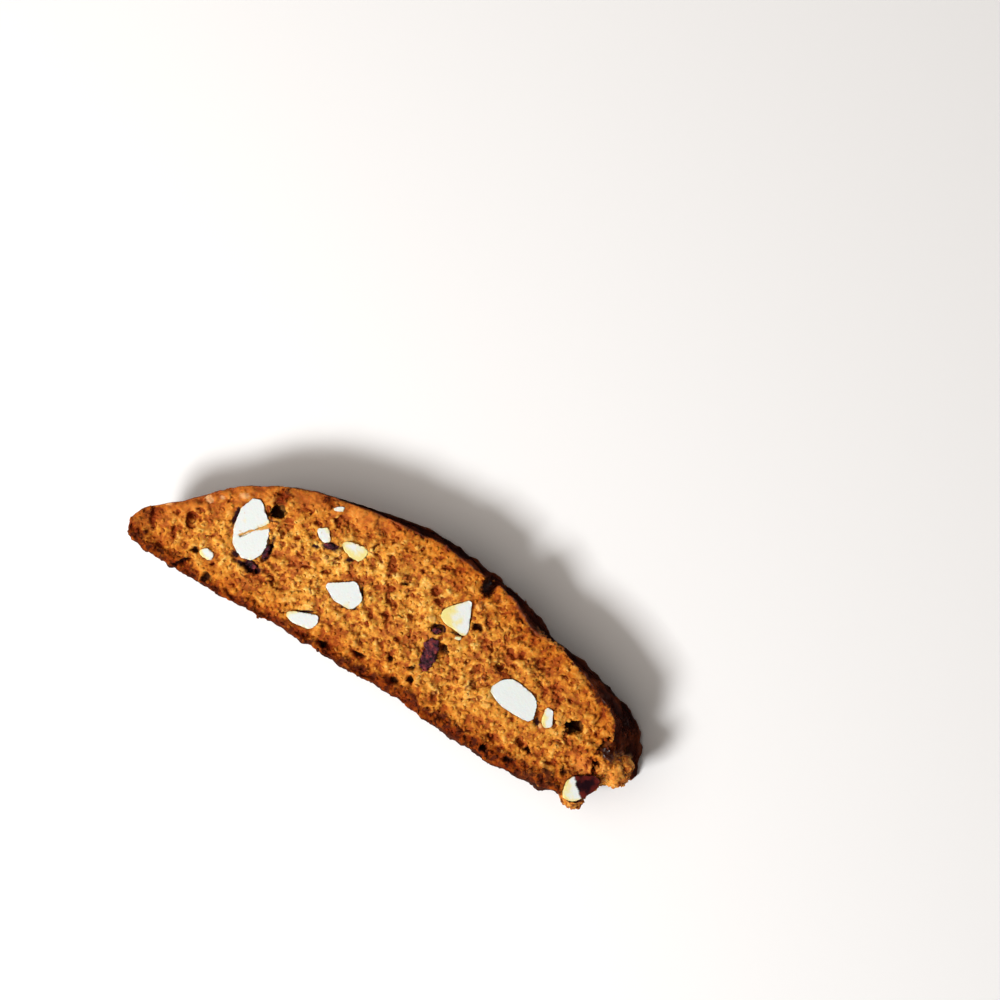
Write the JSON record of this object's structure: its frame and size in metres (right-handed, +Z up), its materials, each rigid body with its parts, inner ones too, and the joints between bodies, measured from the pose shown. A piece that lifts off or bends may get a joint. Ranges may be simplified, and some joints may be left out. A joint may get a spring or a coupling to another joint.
{
  "type": "almond spice biscuit",
  "caption": "Twice-baked spiced almond biscuit: a slanted slice of a domed loaf with a granular cut crumb, chopped almonds and a glossy browned crust.",
  "frame": {"origin": "middle of the bounding box, on the plane that the slice lies on", "axes": "+X along the slice from its pointed nose to its blunt end, +Y from the loaf's flat base to its domed top, +Z up through the slice to the cut side that shows"},
  "size_m": [0.1154, 0.0344, 0.0162],
  "materials": {
    "baked_crumb": "matte, granular baked crumb with a browned crust",
    "almond_kernel": "satin, cut nut",
    "almond_skin": "satin, papery dark skin"
  },
  "bodies": {
    "root": {"almond_lower_01_lens": "almond_kernel", "almond_lower_02_half": "almond_kernel", "almond_lower_03_block": "almond_kernel", "almond_lower_04_wedge": "almond_kernel", "almond_lower_05_sliver": "almond_kernel", "almond_lower_06_nib": "almond_kernel", "almond_lower_07_block": "almond_kernel", "almond_lower_08_chip": "almond_kernel", "almond_lower_09_splinter": "almond_kernel", "almond_lower_10_crumbled": "almond_kernel", "almond_upper_01_half": "almond_kernel", "almond_upper_02_block": "almond_kernel", "almond_upper_03_sliver": "almond_kernel", "almond_upper_04_chip": "almond_kernel", "almond_upper_05_nib": "almond_kernel", "almond_upper_06_wedge": "almond_kernel", "almond_upper_07_skin": "almond_skin", "almond_upper_08_lens": "almond_kernel", "almond_upper_09_splinter": "almond_kernel", "almond_upper_10_crumbled": "almond_kernel", "almond_upper_11_corner": "almond_kernel", "biscuit": "baked_crumb"}
  },
  "joints": []
}
